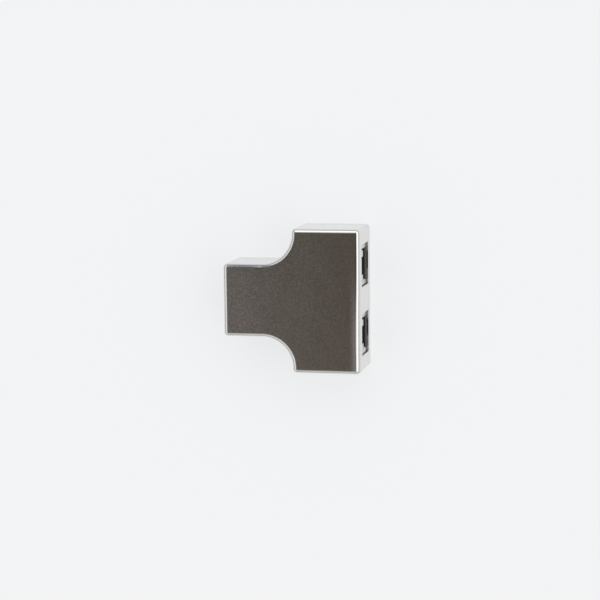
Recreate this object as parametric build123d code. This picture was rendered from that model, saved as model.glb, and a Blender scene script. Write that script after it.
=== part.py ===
from build123d import *
from math import asin, atan2, degrees, hypot, sqrt
import os

# A T-shaped splitter for network leads: one port at the end of the stem, two at the end of the bar.
# It lies on its back. X runs from the single port to the twin ports, Y across the twin ports, and
# Z from the flat back to the front. The origin is the middle of the back. Sizes are millimetres.

# Housing, outside
overall_length = 53.0
overall_height = 22.0
bar_width = 55.2
bar_depth = 26.2
stem_width = 27.9
cove_radius = 11.9
cove_land = 0.05
corner_radius = 1.6
edge_radius = 1.5
back_edge_radius = 0.3

# Housing, walls
wall = 1.8
front_wall = 2.0
back_wall = 1.6
seam_gap = 0.1

# Tongue of the back shell, which stands inside the front shell's rim
lip_width = 0.7
lip_height = 1.0
lip_clearance = 0.1

# Ports
port_inset = 0.6
port_clearance = 0.15
port_chamfer = 0.25
mouth_recess = 0.7

# Circuit board and what carries it
board_thickness = 1.6
board_height = 2.7
board_clearance = 0.4
rail_width = 1.2
rail_length = 12.0
rail_places = [2.6, 7.3]
boss_diameter = 4.0
boss_pin_diameter = 1.8
boss_pin_reach = 1.4
boss_pin_clearance = 0.15
pair_boss_x = -1.5
pair_boss_y = 9.0
bar_boss_x = 14.5
hold_down_gap = 0.1
pad_width = 1.2
pad_length = 12.0
pad_places = [4.0, 12.0]

# Snap hooks
hook_width = 4.0
hook_thickness = 1.1
hook_height = 13.0
hook_catch = 0.7
hook_catch_height = 1.6
hook_catch_face = 0.4
hook_clearance = 0.15
bar_hook_x = 12.0
stem_hook_x = -19.0

# Jack shield, a folded sheet that is open underneath
jack_width = 16.0
head_room = 2.4
jack_depth = 16.0
sheet = 0.25
fold_radius = 0.45
shield_fit = 0.05
shield_foot = 0.3
flange_width = 1.7
flange_height = 0.95

# Solder tabs of the shield
tab_length = 1.6
tab_place = 5.0
tab_reach = 0.6
tab_taper = 0.3

# Spring fingers that fold from the shield's front edge into the mouth
top_finger_width = 2.4
top_finger_place = 4.6
side_finger_width = 3.0
side_finger_drop = 0.25
finger_bulge = 0.5
finger_dip = 0.35
finger_length = 4.8
finger_bend = 0.4
finger_nip = 2.0
finger_pocket = 0.9
finger_clearance = 0.15

# Plug cavity and latch notch
cavity_width = 11.9
cavity_floor = 1.7
cavity_depth = 12.0
latch_step_width = 6.4
latch_step_height = 1.5
latch_slot_width = 4.2
latch_slot_height = 2.1
latch_roof = 1.1
latch_room_width = 6.8
latch_room_depth = 8.5
mouth_wall = 1.3
lead_in = 0.4

# Pegs that place the jack on the board
peg_diameter = 2.4
peg_spacing = 12.7
peg_place = 9.5
peg_reach = 0.6
peg_slot = 0.5
peg_taper = 0.3

# Wedges that catch in the shield's side windows
wedge_length = 2.0
wedge_height = 1.2
wedge_depth = 0.2
wedge_place = 9.0
wedge_drop = 3.1
window_clearance = 0.1

# Spring contacts
contact_count = 8
contact_pitch = 1.02
contact_width = 0.4
contact_thickness = 0.35
contact_run = 0.5
contact_turn_radius = 0.6
contact_foot_radius = 0.4
contact_front = 2.9
contact_tip = 11.3
contact_tip_drop = 3.2
tail_place = 14.4
tail_row_spacing = 2.54
tail_reach = 0.7

# Insert that carries the contacts
insert_width = 9.6
insert_floor = 1.4
insert_back = 3.2
insert_drop = 0.6
comb_depth = 1.9
comb_drop = 1.8
groove_clearance = 0.05

# Board drillings
pin_drill = 0.8
drill_clearance = 0.1

# Worked out from the sizes above
half_length = overall_length / 2
half_bar = bar_width / 2
half_stem = stem_width / 2
bar_back = half_length - bar_depth
cove = min(cove_radius, half_bar - half_stem - corner_radius - cove_land)
inside_front = overall_height - front_wall
board_top = board_height + board_thickness
jack_height = inside_front - head_room - board_top
parting = board_top - port_clearance
mouth = half_length - mouth_recess
port_place = half_bar / 2 - port_inset
body_front = sheet + shield_fit
body_back = jack_depth - body_front
body_half_width = jack_width / 2 - body_front
body_top = jack_height - body_front
half_cavity = cavity_width / 2
latch_top = jack_height - latch_roof
latch_step_top = latch_top - latch_slot_height
cavity_top = latch_step_top - latch_step_height
cavity_middle = (cavity_floor + cavity_top) / 2
side_finger_level = cavity_middle - side_finger_drop
wedge_level = jack_height - wedge_drop
bay_half_width = insert_width / 2 + shield_fit
insert_rear = body_back - shield_fit
insert_wall = insert_rear - insert_back
insert_front = contact_front + contact_turn_radius
insert_top = cavity_top - insert_drop
comb_top = insert_top - comb_drop

# Each port: its name, where its mouth is, and the way it faces as a turn about Z
ports = [
    ("stem", (-mouth, 0), 180),
    ("upper", (mouth, port_place), 0),
    ("lower", (mouth, -port_place), 0),
]

# Bosses that hold the board, clear of the jacks
boss_sites = [(pair_boss_x, pair_boss_y), (pair_boss_x, -pair_boss_y), (bar_boss_x, 0)]

# Snap hooks: the place on the inner wall that each one stands against, and the way it catches
hook_sites = [
    ((bar_hook_x, half_bar - wall), 90),
    ((bar_hook_x, wall - half_bar), -90),
    ((stem_hook_x, half_stem - wall), 90),
    ((stem_hook_x, wall - half_stem), -90),
    ((half_length - wall, 0), 0),
]


def block(x, y, z):
    """A box from its low and high limits along each axis."""
    size = Box(x[1] - x[0], y[1] - y[0], z[1] - z[0])
    return Pos((x[0] + x[1]) / 2, (y[0] + y[1]) / 2, (z[0] + z[1]) / 2) * size


def centred(half):
    """Limits at equal distances on both sides of zero."""
    return -half, half


def around(middle, half):
    """Limits at equal distances on both sides of a place."""
    return middle - half, middle + half


def both_sides(shape):
    """The shape with its mirror image across the XZ plane."""
    return shape + mirror(shape, about=Plane.XZ)


def at_port(shape, port):
    """Moves a shape from the jack's own frame to its port, on top of the board.

    In the jack's frame the mouth is at x = 0 and faces +X, and z = 0 is the board's top.
    """
    name, (x, y), turn = port
    return Pos(x, y, board_top) * Rot(0, 0, turn) * shape


def at_hook(shape, site):
    """Moves a shape from a hook's own frame, where +X points out through the wall, to its site."""
    (x, y), turn = site
    return Pos(x, y, 0) * Rot(0, 0, turn) * shape


def strip(path, thickness, width):
    """A bent strip: a flat section swept along a path, which is drawn in X and Z."""
    path = Plane.XZ * path
    start = Plane(origin=path @ 0, x_dir=(0, 1, 0), z_dir=path % 0)
    return sweep(start * Rectangle(width, thickness), path=path)


def t_profile(inset=0.0):
    """The T's outline, moved inwards by inset: straight sides, quarter-round coves, round corners."""
    end_x = half_length - inset
    stem_y = half_stem - inset
    bar_y = half_bar - inset
    centre_x, centre_y = bar_back - cove, half_stem + cove
    reach = cove + inset
    top_y = min(centre_y, bar_y)
    top_x = centre_x + sqrt(reach**2 - (centre_y - top_y) ** 2)
    half_way = reach * sqrt(0.5)
    sides = [
        Line((-end_x, 0), (-end_x, stem_y)),
        Line((-end_x, stem_y), (centre_x, stem_y)),
        ThreePointArc((centre_x, stem_y), (centre_x + half_way, centre_y - half_way), (top_x, top_y)),
    ]
    if bar_y > top_y:
        sides.append(Line((top_x, top_y), (top_x, bar_y)))
    sides.append(Line((top_x, bar_y), (end_x, bar_y)))
    sides.append(Line((end_x, bar_y), (end_x, 0)))
    sides.append(Line((end_x, 0), (-end_x, 0)))
    outline = both_sides(make_face(Wire(sides)))
    radius = corner_radius - inset
    if radius <= 0:
        return outline
    ends, sides = outline.vertices().group_by(Axis.X), outline.vertices().group_by(Axis.Y)
    return fillet(ends[0] + sides[0] + sides[-1], radius)


def layer(inset, low, high):
    """A slab of the T between two heights."""
    return Pos(0, 0, low) * extrude(t_profile(inset), high - low)


def port_cut(port):
    """The space that a jack needs in the end wall, with a small chamfer round its mouth."""
    half = jack_width / 2 + port_clearance
    low, high = -port_clearance, jack_height + port_clearance
    passage = block((mouth_recess - wall - lip_clearance, mouth_recess), centred(half), (low, high))
    rim = Pos(mouth_recess, 0, (low + high) / 2) * Plane.YZ
    narrow = rim.offset(-port_chamfer) * Rectangle(2 * half, high - low)
    wide = rim * Rectangle(2 * (half + port_chamfer), high - low + 2 * port_chamfer)
    return at_port(passage + loft([narrow, wide]), port)


def make_front_shell():
    """Deep shell: coved T with a rounded front edge, port openings, pads, posts and hook pockets."""
    solid = layer(0, parting, overall_height)
    solid = fillet(solid.faces().sort_by(Axis.Z)[-1].edges(), edge_radius)
    shell = solid - layer(wall, parting, inside_front)
    groove = wall - lip_width - lip_clearance
    shell -= layer(groove, parting, parting + lip_height + lip_clearance)
    pad_reach = (jack_height + hold_down_gap, jack_height + head_room)
    for port in ports:
        shell -= port_cut(port)
        for depth in pad_places:
            pad = block(around(-depth, pad_width / 2), centred(pad_length / 2), pad_reach)
            shell += at_port(pad, port)
    post_foot = board_top + hold_down_gap
    post = extrude(Circle(boss_diameter / 2), inside_front - post_foot)
    socket_radius = boss_pin_diameter / 2 + boss_pin_clearance
    socket = extrude(Circle(socket_radius), boss_pin_reach + boss_pin_clearance)
    for x, y in boss_sites:
        shell += Pos(x, y, post_foot) * (post - socket)
    pocket_depth = hook_catch - hook_clearance + lip_clearance
    pocket = block(
        (-lip_clearance, pocket_depth),
        centred(hook_width / 2 + hook_clearance),
        (hook_height - hook_catch_height - hook_clearance, hook_height + hook_clearance),
    )
    for site in hook_sites:
        shell -= at_hook(pocket, site)
    return shell


def make_hook():
    """Snap hook: an arm that rises from the back shell beside the wall, with a sloped catch on top."""
    inner = -hook_clearance - hook_thickness
    arm = block((inner, -hook_clearance), centred(hook_width / 2), (back_wall, hook_height))
    root = block((inner, 0), centred(hook_width / 2), (back_wall, parting - seam_gap))
    low = hook_height - hook_catch_height
    tip = hook_catch - hook_clearance
    outline = Polyline(
        (-hook_clearance, low),
        (tip, low),
        (tip, low + hook_catch_face),
        (-hook_clearance, hook_height),
        close=True,
    )
    catch = extrude(Plane.XZ * make_face(outline), hook_width / 2, both=True)
    return arm + root + catch


def make_back_shell():
    """Shallow tray: flat back, tongue, rails and bosses for the board, and the snap hooks."""
    rim = parting - seam_gap
    solid = layer(0, 0, rim)
    solid = fillet(solid.faces().sort_by(Axis.Z)[0].edges(), back_edge_radius)
    solid += layer(wall - lip_width, rim, parting + lip_height)
    shell = solid - layer(wall, back_wall, parting + lip_height)
    under_board = (back_wall - board_top, board_height - board_top)
    for port in ports:
        shell -= port_cut(port)
        for depth in rail_places:
            rail = block(around(-depth, rail_width / 2), centred(rail_length / 2), under_board)
            shell += at_port(rail, port)
    boss = extrude(Circle(boss_diameter / 2), board_height - back_wall)
    pin = extrude(Circle(boss_pin_diameter / 2), board_top + boss_pin_reach - back_wall)
    for x, y in boss_sites:
        shell += Pos(x, y, back_wall) * (boss + pin)
    hook = make_hook()
    for site in hook_sites:
        shell += at_hook(hook, site)
    return shell


def contact_y(index):
    """Where a contact lies across the jack."""
    return (index - (contact_count - 1) / 2) * contact_pitch


def contact_tail(index):
    """How far behind the mouth a contact's tail goes down: two staggered rows."""
    return tail_place - tail_row_spacing * (index % 2)


def make_board():
    """Circuit board: the T moved inwards, drilled for the jacks and bosses, notched for the hooks."""
    holes = []
    for port in ports:
        for index in range(contact_count):
            drill = Pos(-contact_tail(index), contact_y(index)) * Circle(pin_drill / 2)
            holes.append(at_port(drill, port))
        for side in (-1, 1):
            peg_hole = Circle(peg_diameter / 2 + drill_clearance)
            holes.append(at_port(Pos(-peg_place, side * peg_spacing / 2) * peg_hole, port))
            slot = SlotOverall(tab_length + 4 * drill_clearance, sheet + 4 * drill_clearance)
            holes.append(at_port(Pos(-tab_place, side * (jack_width - sheet) / 2) * slot, port))
    for x, y in boss_sites:
        holes.append(Pos(x, y, board_top) * Circle(boss_pin_diameter / 2 + boss_pin_clearance))
    board = layer(wall + board_clearance, board_height, board_top)
    for hole in holes:
        board -= extrude(hole, -board_thickness)
    notch = block(
        (-hook_thickness - 2 * hook_clearance - board_clearance, 0),
        centred(hook_width / 2 + board_clearance),
        (board_height, board_top),
    )
    for site in hook_sites:
        board -= at_hook(notch, site)
    return board


def make_peg():
    """Split peg under the jack body."""
    reach = board_thickness + peg_reach
    peg = Pos(-peg_place, peg_spacing / 2, -reach) * extrude(Circle(peg_diameter / 2), reach)
    peg = chamfer(peg.faces().sort_by(Axis.Z)[0].edges(), peg_taper)
    split_reach = reach - board_thickness / 2
    slot_x = around(-peg_place, peg_slot / 2)
    slot = block(slot_x, around(peg_spacing / 2, peg_diameter), (-reach, split_reach - reach))
    return peg - slot


def make_jack_body():
    """Insulator: plug cavity, stepped latch notch with room behind it, insert bay, pegs, wedges."""
    body = block((-body_back, -body_front), centred(body_half_width), (0, body_top))
    body = chamfer(body.edges() - body.faces().sort_by(Axis.Z)[0].edges(), fold_radius - sheet)
    body -= block((-cavity_depth, 0), centred(half_cavity), (cavity_floor, cavity_top))
    cavity_height = cavity_top - cavity_floor
    rim = Pos(0, 0, cavity_middle) * Plane.YZ
    wide = rim.offset(-body_front) * Rectangle(cavity_width + 2 * lead_in, cavity_height + 2 * lead_in)
    narrow = rim.offset(-body_front - lead_in) * Rectangle(cavity_width, cavity_height)
    body -= loft([wide, narrow])
    step = centred(latch_step_width / 2)
    body -= block((-latch_room_depth, 0), step, (cavity_top, latch_step_top))
    slot = centred(latch_slot_width / 2)
    body -= block((-latch_room_depth, 0), slot, (latch_step_top, latch_top))
    room = centred(latch_room_width / 2)
    body -= block((-latch_room_depth, -body_front - mouth_wall), room, (cavity_top, latch_top))
    bay = centred(bay_half_width)
    body -= block((-body_back, -body_front - mouth_wall), bay, (0, cavity_floor))
    body -= block((-body_back, -cavity_depth), bay, (cavity_floor, insert_top + shield_fit))
    pocket_depth = (-finger_length - finger_pocket, 0)
    over_finger = around(top_finger_place, top_finger_width / 2 + finger_clearance)
    body -= both_sides(block(pocket_depth, over_finger, (cavity_top, cavity_top + finger_pocket)))
    beside_finger = around(side_finger_level, side_finger_width / 2 + finger_clearance)
    body -= both_sides(block(pocket_depth, (half_cavity, half_cavity + finger_pocket), beside_finger))
    low, high = wedge_level, wedge_level + wedge_height
    outline = Polyline(
        (body_half_width, low),
        (body_half_width + wedge_depth, low),
        (body_half_width, high),
        close=True,
    )
    wedge = extrude(Plane.YZ * make_face(outline), wedge_length / 2, both=True)
    body += both_sides(Pos(-wedge_place, 0, 0) * wedge)
    return body + both_sides(make_peg())


def make_shield():
    """Stamped shield: folded top, sides and back, front flanges, four spring fingers, solder tabs."""
    half = jack_width / 2
    outer = block((-jack_depth, 0), centred(half), (shield_foot, jack_height))
    outer = fillet(outer.edges() - outer.faces().sort_by(Axis.Z)[0].edges(), fold_radius)
    inner = block((-jack_depth + sheet, -sheet), centred(half - sheet), (shield_foot, jack_height - sheet))
    inner = fillet(inner.edges() - inner.faces().sort_by(Axis.Z)[0].edges(), fold_radius - sheet)
    shield = outer - inner
    window = centred(half - flange_width)
    window_top = jack_height - flange_height
    shield -= block((-sheet, 0), window, (shield_foot, window_top))
    bulge_x = finger_bulge - sheet / 2
    top_path = [
        (-sheet / 2, window_top + sheet),
        (-sheet / 2, window_top - finger_bend),
        (bulge_x, window_top - finger_bend - 2 * finger_bulge),
        (bulge_x, cavity_top + 2 * finger_bulge),
        (-finger_nip / 2, cavity_top - finger_dip),
        (-finger_length, cavity_top + sheet),
    ]
    top_finger = strip(FilletPolyline(*top_path, radius=finger_bend), sheet, top_finger_width)
    shield += both_sides(Pos(0, top_finger_place, 0) * top_finger)
    side_path = [
        (-sheet / 2, half - flange_width + sheet),
        (-sheet / 2, half_cavity + shield_fit),
        (-finger_nip, half_cavity - finger_dip),
        (-finger_length, half_cavity + sheet),
    ]
    side_finger = strip(FilletPolyline(*side_path, radius=finger_bend), sheet, side_finger_width)
    shield += both_sides(Pos(0, 0, side_finger_level) * Rot(-90, 0, 0) * side_finger)
    reach = -board_thickness - tab_reach
    outline = Polyline(
        (-tab_length / 2, shield_foot),
        (-tab_length / 2, reach + tab_taper),
        (-tab_length / 2 + tab_taper, reach),
        (tab_length / 2 - tab_taper, reach),
        (tab_length / 2, reach + tab_taper),
        (tab_length / 2, shield_foot),
        close=True,
    )
    tab = extrude(Plane.XZ * make_face(outline), sheet / 2, both=True)
    shield += both_sides(Pos(-tab_place, half - sheet / 2, 0) * tab)
    side_window = block(
        around(-wedge_place, wedge_length / 2 + window_clearance),
        (half - sheet, half),
        (wedge_level - window_clearance, wedge_level + wedge_height + window_clearance),
    )
    return shield - both_sides(side_window)


def make_insert():
    """Contact carrier: grooved foot under the plug cavity, upright back and comb for the tips."""
    half = centred(insert_width / 2)
    insert = block((-insert_rear, -insert_front), half, (0, insert_floor))
    insert += block((-insert_rear, -insert_wall), half, (0, insert_top))
    fin_thickness = contact_pitch - contact_width - 2 * groove_clearance
    fin = block(
        (-insert_wall, -insert_wall + comb_depth),
        centred(fin_thickness / 2),
        (insert_floor, comb_top),
    )
    for index in range(contact_count + 1):
        insert += Pos(0, contact_y(index) - contact_pitch / 2, 0) * fin
    groove = block(
        (-tail_place - contact_thickness, -insert_front),
        centred(contact_width / 2 + groove_clearance),
        (0, contact_run + contact_thickness / 2 + groove_clearance),
    )
    for index in range(contact_count):
        insert -= Pos(0, contact_y(index), 0) * groove
    return insert


def contact_path(index):
    """Centre line of a contact: solder tail, run under the insert, turn round its nose, slope back."""
    tail = contact_tail(index)
    nose_level = contact_run + contact_turn_radius
    back = contact_tip - insert_front
    up = cavity_top - contact_tip_drop - nose_level
    slope = atan2(up, back) - asin(contact_turn_radius / hypot(up, back))
    rise = Line((-tail, -board_thickness - tail_reach), (-tail, contact_run - contact_foot_radius))
    foot = JernArc(rise @ 1, rise % 1, contact_foot_radius, -90)
    run = Line(foot @ 1, (-insert_front, contact_run))
    turn = JernArc(run @ 1, run % 1, contact_turn_radius, 180 - degrees(slope))
    arm = Line(turn @ 1, (-contact_tip, nose_level + up))
    return Wire([rise, foot, run, turn, arm])


def make_contact(index):
    """Spring contact of one flat wire."""
    wire = strip(contact_path(index), contact_thickness, contact_width)
    return Pos(0, contact_y(index), 0) * wire


def make_nodes():
    """Every piece of the adapter by name."""
    nodes = {
        "front_shell": make_front_shell(),
        "back_shell": make_back_shell(),
        "circuit_board": make_board(),
    }
    body = make_jack_body()
    shield = make_shield()
    insert = make_insert()
    contacts = [make_contact(index) for index in range(contact_count)]
    for port in ports:
        name = port[0] + "_jack_"
        nodes[name + "body"] = at_port(body, port)
        nodes[name + "shield"] = at_port(shield, port)
        nodes[name + "insert"] = at_port(insert, port)
        for index, contact in enumerate(contacts):
            nodes[f"{name}contact_{index + 1}"] = at_port(contact, port)
    return nodes


os.makedirs("parts", exist_ok=True)
for node, shape in make_nodes().items():
    export_step(shape, f"parts/{node}.step")
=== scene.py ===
# %% [markdown]
# # Dressing a network splitter
# A T-shaped splitter takes one network lead at the end of its stem and passes it on to two on the
# outer side of its bar. Its solids come from the construction model, already in place and at their
# real size. This lesson gives them the look of the real thing: a nickel-plated housing, stamped tin
# shields, black moulded insulators, gilded spring contacts and a green board.
#
# The solids are loaded first and stay where they are. The top corner of the front shell's box is
# kept, for the masks on the plate.

# %% Load the solids
from math import cos, radians, sin

import bpy
import numpy as np
from mathutils import Matrix, Vector


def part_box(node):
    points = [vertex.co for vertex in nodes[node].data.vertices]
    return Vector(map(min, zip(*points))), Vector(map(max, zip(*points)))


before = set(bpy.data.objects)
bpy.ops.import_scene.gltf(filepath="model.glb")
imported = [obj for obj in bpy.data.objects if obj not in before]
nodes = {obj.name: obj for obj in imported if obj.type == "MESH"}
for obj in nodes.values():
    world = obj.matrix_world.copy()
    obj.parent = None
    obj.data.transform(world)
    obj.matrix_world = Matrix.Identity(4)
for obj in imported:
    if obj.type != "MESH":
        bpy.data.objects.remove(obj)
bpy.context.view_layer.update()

shell_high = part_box("front_shell")[1]
print("solids:", len(nodes), "front shell up to", tuple(round(x, 4) for x in shell_high))

# %% [markdown]
# ## The camera
# The splitter lies on its back and the camera looks almost straight down on it, from a little to
# the right and a little above in the picture, so that the end with the twin ports and the long
# upper side show as narrow bright bands. A long lens keeps those bands nearly parallel. The aim,
# the two angles, the distance and the small roll place it without guessing at a matrix.

# %% Camera
AIM = Vector((0.00110, -0.00097, 0.0110))
CAMERA_AZIMUTH = radians(33.57)
CAMERA_ELEVATION = radians(75.28)
CAMERA_DISTANCE = 0.7577
CAMERA_ROLL = radians(-0.63)
LENS = 118.4


def direction(azimuth, elevation):
    """Unit vector: azimuth turns from +X towards +Y, elevation lifts it towards +Z."""
    flat = cos(elevation)
    return Vector((flat * cos(azimuth), flat * sin(azimuth), sin(elevation)))


def look_from(aim, back, distance, roll):
    """Camera matrix: it looks along -back at aim, with +Y up in the picture, then rolls."""
    right = Vector((0, 1, 0)).cross(back).normalized()
    up = back.cross(right)
    turned = Matrix((right, up, back)).transposed() @ Matrix.Rotation(roll, 3, "Z")
    return Matrix.Translation(aim + back * distance) @ turned.to_4x4()


camera_data = bpy.data.cameras.new("camera")
camera_data.lens = LENS
camera = bpy.data.objects.new("camera", camera_data)
view_back = direction(CAMERA_AZIMUTH, CAMERA_ELEVATION)
camera.matrix_world = look_from(AIM, view_back, CAMERA_DISTANCE, CAMERA_ROLL)
bpy.context.scene.collection.objects.link(camera)
bpy.context.scene.camera = camera
bpy.context.scene.view_settings.view_transform = "Standard"
print("camera at", tuple(round(x, 4) for x in camera.location))


# %% [markdown]
# ## Arithmetic on shader sockets
# Shader maths reads badly as a web of Math nodes. A small class wraps a socket and overloads the
# operators, so that `0.3 + 0.1 * grain` adds its Math nodes by itself. Every other node comes from
# one method, `add`, which takes the node's type, its settings and what its sockets get.

# %% Socket arithmetic
class Graph:
    """The node tree of a material or a world, with one method that adds a node."""

    def __init__(self, tree):
        self.tree = tree
        tree.nodes.clear()

    def add(self, kind, settings=None, output=0, **inputs):
        """Adds a node: settings first, then a value or a link for each socket that is named."""
        node = self.tree.nodes.new(kind)
        for name, value in (settings or {}).items():
            setattr(node, name, value)
        for name, value in inputs.items():
            self.plug(self.find(node, name), value)
        return Value(self, node.outputs[output]) if node.outputs else None

    def find(self, node, name):
        """The input of that name, with _ for a space; in0, in1 and so on are inputs by number."""
        if name[:2] == "in" and name[2:].isdigit():
            return node.inputs[int(name[2:])]
        label = name.replace("_", " ")
        return next(s for s in node.inputs if s.name == label and s.enabled)

    def plug(self, socket, value):
        """Links a Value to the socket, or sets the socket's own number, colour or vector."""
        if isinstance(value, Value):
            self.tree.links.new(value.socket, socket)
        elif socket.type == "RGBA":
            socket.default_value = (*value, 1.0)
        else:
            socket.default_value = value


class Value:
    """An output socket that understands + - * / and a few named operations."""

    def __init__(self, graph, socket):
        self.graph, self.socket = graph, socket

    def math(self, operation, *others):
        """A Math node on this value and the others, in that order."""
        inputs = {f"in{i}": number for i, number in enumerate((self, *others))}
        return self.graph.add("ShaderNodeMath", {"operation": operation}, **inputs)

    def __add__(self, other):
        return self.math("ADD", other)

    def __sub__(self, other):
        return self.math("SUBTRACT", other)

    def __rsub__(self, other):
        return self.math("MULTIPLY_ADD", -1.0, other)

    def __mul__(self, other):
        return self.math("MULTIPLY", other)

    def __truediv__(self, other):
        return self.math("DIVIDE", other)

    __radd__ = __add__
    __rmul__ = __mul__

    def rise(self, start, end):
        """0 before start, 1 past end, and a smooth step between them."""
        ends = {"From_Min": start, "From_Max": end, "To_Min": 0.0, "To_Max": 1.0}
        settings = {"interpolation_type": "SMOOTHSTEP"}
        return self.graph.add("ShaderNodeMapRange", settings, Value=self, **ends)

    def held(self, low, high):
        """The value, kept between low and high."""
        return self.math("MAXIMUM", low).math("MINIMUM", high)

    def parts(self):
        """The three components of a vector."""
        node = self.graph.add("ShaderNodeSeparateXYZ", Vector=self).socket.node
        return [Value(self.graph, socket) for socket in node.outputs]


print("socket arithmetic is ready")

# %% [markdown]
# Four helpers cover what the class leaves out: colours that mix, sums and products of vectors,
# cloudy noise, and the way that the surface faces.

# %% Colours, vectors and noise
def mix(graph, factor, first, second):
    """The colour that goes from first to second as factor goes from 0 to 1."""
    sockets = {"Factor": factor, "A": first, "B": second}
    return graph.add("ShaderNodeMix", {"data_type": "RGBA"}, 2, **sockets)


def vectors(graph, operation, *inputs, **named):
    """A Vector Math node on the inputs, in that order; a dot product comes out as a number."""
    numbered = {f"in{i}": value for i, value in enumerate(inputs)}
    output = "Value" if operation == "DOT_PRODUCT" else "Vector"
    return graph.add("ShaderNodeVectorMath", {"operation": operation}, output, **numbered, **named)


def noise(graph, place, scale, detail=2.0, rough=0.5):
    """Cloudy noise about 0.5, with scale lumps to the metre."""
    sockets = {"Vector": place, "Scale": scale, "Detail": detail, "Roughness": rough}
    return graph.add("ShaderNodeTexNoise", None, 0, **sockets)


def facing(graph):
    """The way that the surface faces, a vector of length 1."""
    return graph.add("ShaderNodeNewGeometry", None, "Normal")


print("helpers for colours, vectors and noise are ready")

# %% [markdown]
# ## Studio: a pale floor under a soft tent of light
# Plated metal shows what stands round it. The flat front looks dark though the plate is bright,
# because it mirrors a dark opening overhead, while its rounded edges and its sides pick up the
# white tent and the white floor. A picture of a studio could be wrapped round the scene, but a
# formula is easier to steer. The key side is a wide cone of directions to the right and above in
# the picture, and the other sides give a dimmer fill. The walls darken towards the floor, which
# draws a thin line along every rounded edge.

# %% Tent
KEY_WHITE = (1.58, 1.59, 1.595)
FILL_WHITE = (0.93, 0.945, 0.96)
WALL_GREY = (0.20, 0.20, 0.205)
WALL_TOP = 38.0
KEY_AXIS, KEY_HALF_ANGLE, KEY_SOFTNESS = (0.60, 0.60, 0.53), 63.0, 7.0


def cone(graph, way, axis, half_angle, softness):
    """1 inside a cone about axis and 0 outside, from the angle between axis and way."""
    aligned = vectors(graph, "DOT_PRODUCT", way, Vector(axis).normalized())
    rim = cos(radians(half_angle + softness))
    core = cos(radians(half_angle - softness))
    return aligned.rise(rim, core)


def tent_wall(graph, way):
    """The fill and the key side, both darker near the floor."""
    lit = mix(graph, cone(graph, way, KEY_AXIS, KEY_HALF_ANGLE, KEY_SOFTNESS), FILL_WHITE, KEY_WHITE)
    height = way.parts()[2].rise(0.0, sin(radians(WALL_TOP)))
    return mix(graph, height, WALL_GREY, lit)


print("tent: key side within", KEY_HALF_ANGLE, "degrees of its axis")

# %% [markdown]
# The opening is an oval in a flat ceiling. Its rim is very soft, so that the front is a little
# lighter at the stem's end, and a haze on its lower side lifts the front towards the bottom of the
# picture. The colour in it is a warm near-black, which gives the nickel its brown tinge.

# %% Opening
OPENING_DARK = (0.030, 0.012, 0.001)
OPENING_HAZE = (0.41, 0.375, 0.33)
HAZE_REACH = 0.8
OPENING_CENTRE = (-0.03, -0.39)
OPENING_SIZE = (0.43, 0.90)
OPENING_SOFTNESS = 0.58
LOWEST_RISE = 0.05


def ceiling_place(way):
    """Where the way (x, y, z) meets a ceiling of height 1: x / z and y / z."""
    x, y, z = way.parts()
    z = z.math("MAXIMUM", LOWEST_RISE)
    return x / z, y / z


def oval(x, y):
    """1 inside the opening, 0 outside it, from the reach of the place in units of its half axes."""
    across = (x - OPENING_CENTRE[0]) * (1 / OPENING_SIZE[0])
    along = (y - OPENING_CENTRE[1]) * (1 / OPENING_SIZE[1])
    reach = (across * across + along * along).math("SQRT")
    return 1 - reach.rise(1 - OPENING_SOFTNESS, 1 + OPENING_SOFTNESS)


def tent_colour(graph, way):
    """The tent's wall, with the opening in it, which is hazier towards -Y."""
    x, y = ceiling_place(way)
    opening = mix(graph, (-1 * y).rise(0.0, HAZE_REACH), OPENING_DARK, OPENING_HAZE)
    return mix(graph, oval(x, y), tent_wall(graph, way), opening)


print("opening:", OPENING_SIZE, "times the ceiling's height")

# %% [markdown]
# The camera itself sees a plain white backdrop in place of the tent. That is one mix on the Light
# Path node, which also tells the floor's rays apart in the next cell.

# %% World
BACKDROP_WHITE = (0.922, 0.930, 0.938)


def make_world():
    """The tent by direction, with a plain white backdrop where the camera looks past the floor."""
    world = bpy.data.worlds.new("tent")
    world.use_nodes = True
    graph = Graph(world.node_tree)
    way = graph.add("ShaderNodeTexCoord", None, "Generated")
    camera_ray = graph.add("ShaderNodeLightPath", None, "Is Camera Ray")
    colour = mix(graph, camera_ray, tent_colour(graph, way), BACKDROP_WHITE)
    graph.add("ShaderNodeOutputWorld", Surface=graph.add("ShaderNodeBackground", None, 0, Color=colour))
    return world


bpy.context.scene.world = make_world()
print("world:", bpy.context.scene.world.name)

# %% [markdown]
# The floor is a flat grid of two parameters that lies just under the object's back. A floor that
# only scatters light would come out grey round the object, so for the rays that the eye or a mirror
# sees, part of it is the backdrop's plain white, and the rest keeps the object's soft shadow.

# %% Floor
FLOOR_REACH = 3.0
FLOOR_DROP = 0.0002
FLOOR_WHITE = (0.91, 0.915, 0.92)
FLOOR_GLOW = 0.75


def grid_faces(rows, columns):
    """Quads of a grid of points that is stored row after row."""
    corner = np.arange(rows * columns).reshape(rows, columns)
    quads = [corner[:-1, :-1], corner[1:, :-1], corner[1:, 1:], corner[:-1, 1:]]
    return np.stack(quads, axis=-1).reshape(-1, 4)


def mesh_object(name, points, faces, material):
    """An object at the origin from arrays of points and faces."""
    mesh = bpy.data.meshes.new(name)
    mesh.from_pydata(points.reshape(-1, 3).tolist(), [], faces.tolist())
    mesh.materials.append(material)
    made = bpy.data.objects.new(name, mesh)
    bpy.context.scene.collection.objects.link(made)
    return made


def make_material(name):
    """A node material and its graph."""
    material = bpy.data.materials.new(name)
    material.use_nodes = True
    return material, Graph(material.node_tree)


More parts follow.
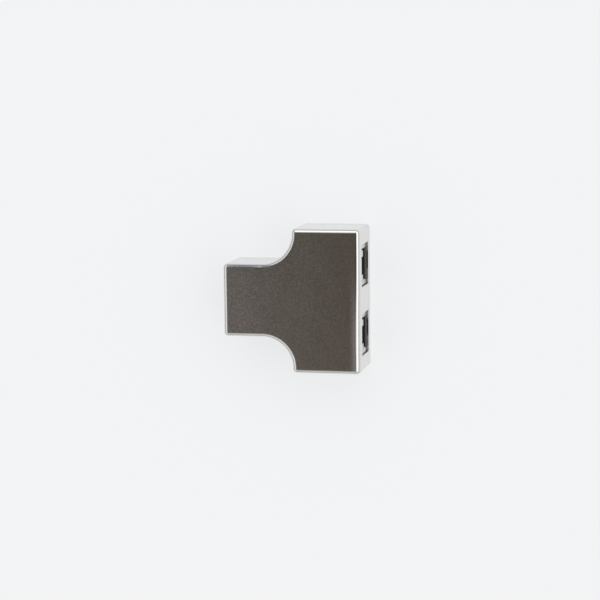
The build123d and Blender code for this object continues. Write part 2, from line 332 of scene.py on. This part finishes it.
def seen_by_eye(graph):
    """1 for camera, mirror and see-through rays, 0 for rays that carry light."""
    path = graph.add("ShaderNodeLightPath", None, "Is Camera Ray").socket.node.outputs
    camera_ray, mirror_ray, clear_ray = (
        Value(graph, path[f"Is {kind} Ray"]) for kind in ("Camera", "Glossy", "Transmission"))
    return camera_ray.math("MAXIMUM", mirror_ray).math("MAXIMUM", clear_ray)


def make_floor():
    """Flat square at z = -drop: x and y both run from -reach to reach."""
    material, graph = make_material("floor_white")
    paint = graph.add("ShaderNodeBsdfDiffuse", None, 0, Color=FLOOR_WHITE)
    glow = graph.add("ShaderNodeEmission", None, 0, Color=BACKDROP_WHITE)
    share = FLOOR_GLOW * seen_by_eye(graph)
    shown = graph.add("ShaderNodeMixShader", None, 0, in0=share, in1=paint, in2=glow)
    graph.add("ShaderNodeOutputMaterial", Surface=shown)
    side = np.linspace(-FLOOR_REACH, FLOOR_REACH, 2)
    x, y = np.meshgrid(side, side, indexing="ij")
    points = np.stack([x, y, np.full_like(x, -FLOOR_DROP)], axis=-1)
    return mesh_object("floor", points, grid_faces(2, 2), material)


make_floor()
print("floor made,", 2 * FLOOR_REACH, "m on a side")

# %% [markdown]
# The rounded edge along the stem's upper side is dull where the bar's is bright: over there the
# plate mirrors the gap between two lamps. A curved grey card makes that gap. It bends round the X
# axis, so it covers the same stretch of the edge all the way round the edge's own bend. It is grey
# at its foot and nearly black overhead, where the front's own dark opening takes over. Only mirror
# rays meet it, so it throws no shadow and the camera never sees it.

# %% Grey card
CARD_RADIUS = 0.10
CARD_TOP = radians(86.5)
CARD_LEFT, CARD_RIGHT, CARD_FADE = -0.049, -0.026, 0.004
CARD_GREY, CARD_DARK = (0.36, 0.37, 0.40), (0.010, 0.008, 0.012)
CARD_STEPS = 24


def make_card():
    """Arc about the X axis: y = radius * cos(a), z = radius * sin(a), a from 0 to the top angle."""
    material, graph = make_material("card_grey")
    x, y = graph.add("ShaderNodeTexCoord", None, "Object").parts()[:2]
    dark = graph.add("ShaderNodeEmission", None, 0, Color=CARD_DARK)
    grey = graph.add("ShaderNodeEmission", None, 0, Color=CARD_GREY)
    shaded = graph.add("ShaderNodeMixShader", None, 0, in0=y * (1 / CARD_RADIUS), in1=dark, in2=grey)
    cover = x.rise(CARD_LEFT, CARD_LEFT + CARD_FADE) * (1 - x.rise(CARD_RIGHT - CARD_FADE, CARD_RIGHT))
    clear = graph.add("ShaderNodeBsdfTransparent")
    shown = graph.add("ShaderNodeMixShader", None, 0, in0=cover, in1=clear, in2=shaded)
    graph.add("ShaderNodeOutputMaterial", Surface=shown)
    turns = np.linspace(0, CARD_TOP, CARD_STEPS)
    along, turn = np.meshgrid([CARD_LEFT, CARD_RIGHT], turns, indexing="ij")
    points = np.stack([along, CARD_RADIUS * np.cos(turn), CARD_RADIUS * np.sin(turn)], axis=-1)
    card = mesh_object("grey_card", points, grid_faces(2, CARD_STEPS), material)
    card.visible_camera = card.visible_diffuse = card.visible_transmission = card.visible_shadow = False
    return card


make_card()
print("grey card bends round the X axis at", CARD_RADIUS, "m")

# %% [markdown]
# ## Nickel plate on the two shells
# The housing is moulded plastic with a thin coat of bright nickel. Two masks tell its places apart
# by the way they face: the walls, which stand upright, and the flat front, which is satin.

# %% Plate: masks
WALL_LEAN = (0.80, 0.98)
FRONT_LEAN = (0.990, 0.999)


def upright(graph):
    """1 on walls that stand upright, 0 on faces that look up or down."""
    return 1 - facing(graph).parts()[2].math("ABSOLUTE").rise(*WALL_LEAN)


def level(graph):
    """1 on faces that look straight up or down, 0 on all that lean by more than a few degrees."""
    return facing(graph).parts()[2].math("ABSOLUTE").rise(*FRONT_LEAN)


print("masks for the walls and the front are ready")

# %% [markdown]
# Along the right edge the plate is not like the rest. Polishing has rolled the last 0.6 mm of the
# front over, and because the plating current crowds at an edge, the nickel there is rougher. Both
# fade towards the upper end. One mask serves the two, each with its own width.

# %% Plate: right edge
RIM_RADIUS = 0.0015
ROLL_WIDTH, ROLL_TILT = 0.0006, 0.22
BURNT_WIDTH, BURNT_ROUGH = 0.0026, 0.13
FADE_FROM, FADE_TO = -0.6, 0.7


def right_edge(graph, place, width):
    """From 0 to 1 over a strip of that width along the front's right edge, less at the top end."""
    x, y, z = place.parts()
    past = ((x - (shell_high[0] - RIM_RADIUS - width)) * (1 / width)).held(0.0, 1.0)
    low_end = 1 - y.rise(FADE_FROM * shell_high[1], FADE_TO * shell_high[1])
    near_front = z.math("GREATER_THAN", shell_high[2] - 2 * RIM_RADIUS)
    upward = facing(graph).parts()[2].math("MAXIMUM", 0.0)
    return past * low_end * near_front * upward


print("right edge: rolled over", ROLL_WIDTH, "m and rougher over", BURNT_WIDTH, "m")

# %% [markdown]
# The satin front is a mosaic of tiny facets from the etched mould. A relief so fine would look
# hammered from nearby, so each cell of a Voronoi pattern gets its own random lean of a degree or
# less and its own tone, and the lean is added to the normal. The walls are smoother and keep faint
# lines along the way that the shell left its mould. A slow waviness bends every reflection a little.

# %% Plate: material
NICKEL = (0.760, 0.752, 0.738)
NICKEL_DULL = (0.640, 0.632, 0.618)
GRAIN_CELL, GRAIN_TILT = 0.00038, 0.021
FRONT_ROUGH, WALL_ROUGH, GRAIN_ROUGH = 0.165, 0.13, 0.02
GRAIN_OFF_FRONT = 0.3
DRAFT_CELL, DRAFT_LENGTH, DRAFT_HEIGHT = 0.0011, 0.030, 0.000006
DRAFT_DULL, DRAFT_RANGE = 0.25, (0.45, 0.80)
WAVE_CELL, WAVE_HEIGHT = 0.016, 0.000060


def leaning_normal(graph, sideways, grain, share):
    """The normal n turned: n + sideways * X + share * tilt * (grain - 1/2), made one long again."""
    facet = vectors(graph, "SUBTRACT", grain, (0.5, 0.5, 0.5))
    facet = vectors(graph, "SCALE", facet, Scale=GRAIN_TILT * share)
    lean = vectors(graph, "ADD", facet, graph.add("ShaderNodeCombineXYZ", None, 0, X=sideways))
    return vectors(graph, "NORMALIZE", vectors(graph, "ADD", facing(graph), lean))


def make_plate():
    """Bright nickel: satin grain on the front, draft lines on the walls, slow waves, a worn edge."""
    material, graph = make_material("nickel_plate")
    place = graph.add("ShaderNodeTexCoord", None, "Object")
    wall, front = upright(graph), level(graph)
    grain = graph.add("ShaderNodeTexVoronoi", None, "Color", Vector=place, Scale=1 / GRAIN_CELL)
    speck = grain.parts()[0]
    stretch = (1.0, 1.0, DRAFT_CELL / DRAFT_LENGTH)
    drafted = graph.add("ShaderNodeMapping", None, 0, Vector=place, Scale=stretch)
    draft = noise(graph, drafted, 1 / DRAFT_CELL, detail=2.0, rough=0.6)
    wave = noise(graph, place, 1 / WAVE_CELL, detail=1.0)
    rolled = ROLL_TILT * right_edge(graph, place, ROLL_WIDTH)
    bump = graph.add(
        "ShaderNodeBump", None, 0, Strength=1.0, Distance=1.0,
        Height=DRAFT_HEIGHT * (wall * draft) + WAVE_HEIGHT * wave,
        Normal=leaning_normal(graph, rolled, grain, front))
    dull = (GRAIN_OFF_FRONT + (1 - GRAIN_OFF_FRONT) * front) * speck
    dull = dull + wall * (DRAFT_DULL * draft.rise(*DRAFT_RANGE))
    rough = WALL_ROUGH + (FRONT_ROUGH - WALL_ROUGH) * front + GRAIN_ROUGH * speck
    rough = rough + BURNT_ROUGH * right_edge(graph, place, BURNT_WIDTH)
    metal = graph.add(
        "ShaderNodeBsdfPrincipled", None, 0,
        Base_Color=mix(graph, dull, NICKEL, NICKEL_DULL), Metallic=1.0, Roughness=rough, Normal=bump)
    graph.add("ShaderNodeOutputMaterial", Surface=metal)
    return material


def dress(material, *names):
    """Gives CAD nodes their material."""
    for name in names:
        nodes[name].data.materials.clear()
        nodes[name].data.materials.append(material)
    print(material.name, "on", len(names), "nodes")


dress(make_plate(), "front_shell", "back_shell")

# %% [markdown]
# ## Stamped tin shields
# Each jack sits in a folded sheet of tinned brass. It is a little greyer than the plate, and it
# keeps the lines of the rolling mill along the strip, which break up reflections one way only.
# Noise that is stretched along X makes such lines, and a second noise adds duller patches.

# %% Shields
TIN = (0.66, 0.655, 0.64)
TIN_DULL = (0.54, 0.53, 0.505)
ROLLING_SCALE, ROLLING_STRETCH, ROLLING_HEIGHT = 6000.0, 0.04, 0.0000012
PATCH_SCALE, PATCH_RANGE = 500.0, (0.45, 0.75)
TIN_ROUGH, ROLLING_ROUGH, PATCH_ROUGH = 0.16, 0.10, 0.10


def make_tin():
    """Bright tin with rolling lines along X and a few duller patches."""
    material, graph = make_material("tinned_sheet")
    place = graph.add("ShaderNodeTexCoord", None, "Object")
    stretched = graph.add("ShaderNodeMapping", None, 0, Vector=place, Scale=(ROLLING_STRETCH, 1.0, 1.0))
    lines = noise(graph, stretched, ROLLING_SCALE, detail=2.0, rough=0.6)
    patch = noise(graph, place, PATCH_SCALE, detail=3.0)
    bump = graph.add("ShaderNodeBump", None, 0, Strength=1.0, Distance=ROLLING_HEIGHT, Height=lines)
    metal = graph.add(
        "ShaderNodeBsdfPrincipled", None, 0,
        Base_Color=mix(graph, patch.rise(*PATCH_RANGE), TIN, TIN_DULL), Metallic=1.0,
        Roughness=TIN_ROUGH + ROLLING_ROUGH * lines + PATCH_ROUGH * patch, Normal=bump)
    graph.add("ShaderNodeOutputMaterial", Surface=metal)
    return material


ports = ["stem", "upper", "lower"]
dress(make_tin(), *[f"{port}_jack_shield" for port in ports])

# %% [markdown]
# ## Black mouldings
# The jack bodies and the inserts are glass-filled plastic. Such plastic is never quite black, its
# skin is half dull, and short fibres near the surface leave a fine mottled relief. One function
# makes both, since only the two near-blacks and the roughness differ.

# %% Mouldings
BODY_BLACK, BODY_GREY, BODY_ROUGH = (0.013, 0.013, 0.014), (0.030, 0.030, 0.031), 0.42
INSERT_BLACK, INSERT_GREY, INSERT_ROUGH = (0.018, 0.017, 0.016), (0.040, 0.038, 0.036), 0.50
FIBRE_SCALE, FIBRE_HEIGHT, FIBRE_ROUGH = 5200.0, 0.000004, 0.14
FLOW_SCALE, FLOW_SHARE = 700.0, 0.4


def make_moulding(name, dark, light, roughness):
    """Filled plastic: mottled between two near-blacks, with a fine relief."""
    material, graph = make_material(name)
    place = graph.add("ShaderNodeTexCoord", None, "Object")
    fibres = noise(graph, place, FIBRE_SCALE, detail=3.0, rough=0.65)
    flow = noise(graph, place, FLOW_SCALE)
    mottle = (1 - FLOW_SHARE) * fibres + FLOW_SHARE * flow
    bump = graph.add("ShaderNodeBump", None, 0, Strength=1.0, Distance=FIBRE_HEIGHT, Height=fibres)
    plastic = graph.add(
        "ShaderNodeBsdfPrincipled", None, 0,
        Base_Color=mix(graph, mottle, dark, light),
        Roughness=roughness + FIBRE_ROUGH * (fibres - 0.5), Normal=bump)
    graph.add("ShaderNodeOutputMaterial", Surface=plastic)
    return material


body_black = make_moulding("jack_black", BODY_BLACK, BODY_GREY, BODY_ROUGH)
insert_black = make_moulding("insert_black", INSERT_BLACK, INSERT_GREY, INSERT_ROUGH)
dress(body_black, *[f"{port}_jack_body" for port in ports])
dress(insert_black, *[f"{port}_jack_insert" for port in ports])

# %% [markdown]
# ## Spring contacts
# The wires are gilded where a plug rubs on them, which is the sloping arm, and tinned at the tails
# that go through the board. The height above the board tells the two apart.

# %% Contacts
GOLD = (0.92, 0.66, 0.28)
GOLD_WORN = (0.80, 0.62, 0.36)
TAIL_TIN = (0.70, 0.69, 0.67)
GILDING_STEP = 0.0002
WEAR_SCALE, WEAR_HEIGHT, WEAR_RANGE = 1500.0, 0.000001, (0.4, 0.8)
TAIL_ROUGH, GOLD_ROUGH, WEAR_ROUGH = 0.34, 0.18, 0.08
board_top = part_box("circuit_board")[1][2]


def make_gilding():
    """Gold above the board and tin at the tails, with a fine relief of wear."""
    material, graph = make_material("gilded_wire")
    place = graph.add("ShaderNodeTexCoord", None, "Object")
    above = place.parts()[2].rise(board_top - GILDING_STEP, board_top + GILDING_STEP)
    wear = noise(graph, place, WEAR_SCALE, detail=3.0, rough=0.6)
    gold = mix(graph, wear.rise(*WEAR_RANGE), GOLD, GOLD_WORN)
    rough = TAIL_ROUGH + (GOLD_ROUGH - TAIL_ROUGH) * above + WEAR_ROUGH * wear
    bump = graph.add("ShaderNodeBump", None, 0, Strength=1.0, Distance=WEAR_HEIGHT, Height=wear)
    metal = graph.add(
        "ShaderNodeBsdfPrincipled", None, 0,
        Base_Color=mix(graph, above, TAIL_TIN, gold), Metallic=1.0, Roughness=rough, Normal=bump)
    graph.add("ShaderNodeOutputMaterial", Surface=metal)
    return material


dress(make_gilding(), *[name for name in nodes if "_contact_" in name])

# %% [markdown]
# ## Circuit board
# The board is glass cloth in resin under a green mask. Copper tracks run along it under the mask
# and lift it a little, so they show as slightly lighter lines, and the weave shows faintly all
# over. Sines of the place give both patterns, so nothing has to be unwrapped.

# %% Board
MASK_GREEN = (0.012, 0.090, 0.035)
MASK_OVER_COPPER = (0.035, 0.190, 0.070)
TRACK_SPACING, TRACK_HEIGHT, TRACK_RANGE = 0.00102, 0.000015, (0.1, 0.35)
MASK_ROUGH, TRACK_ROUGH = 0.30, 0.05
WEAVE_SCALE, WEAVE_SHARE = 1600.0, 0.1


def make_mask():
    """Green mask: tracks repeat across Y at the contacts' spacing, with a woven relief all over."""
    material, graph = make_material("board_green")
    x, y = graph.add("ShaderNodeTexCoord", None, "Object").parts()[:2]
    track = (y * (2 * np.pi / TRACK_SPACING)).math("SINE").rise(*TRACK_RANGE)
    weave = (x * WEAVE_SCALE).math("SINE") * (y * WEAVE_SCALE).math("SINE")
    relief = track + WEAVE_SHARE * weave
    bump = graph.add("ShaderNodeBump", None, 0, Strength=1.0, Distance=TRACK_HEIGHT, Height=relief)
    mask = graph.add(
        "ShaderNodeBsdfPrincipled", None, 0,
        Base_Color=mix(graph, track, MASK_GREEN, MASK_OVER_COPPER),
        Roughness=MASK_ROUGH + TRACK_ROUGH * track, Normal=bump)
    graph.add("ShaderNodeOutputMaterial", Surface=mask)
    return material


dress(make_mask(), "circuit_board")
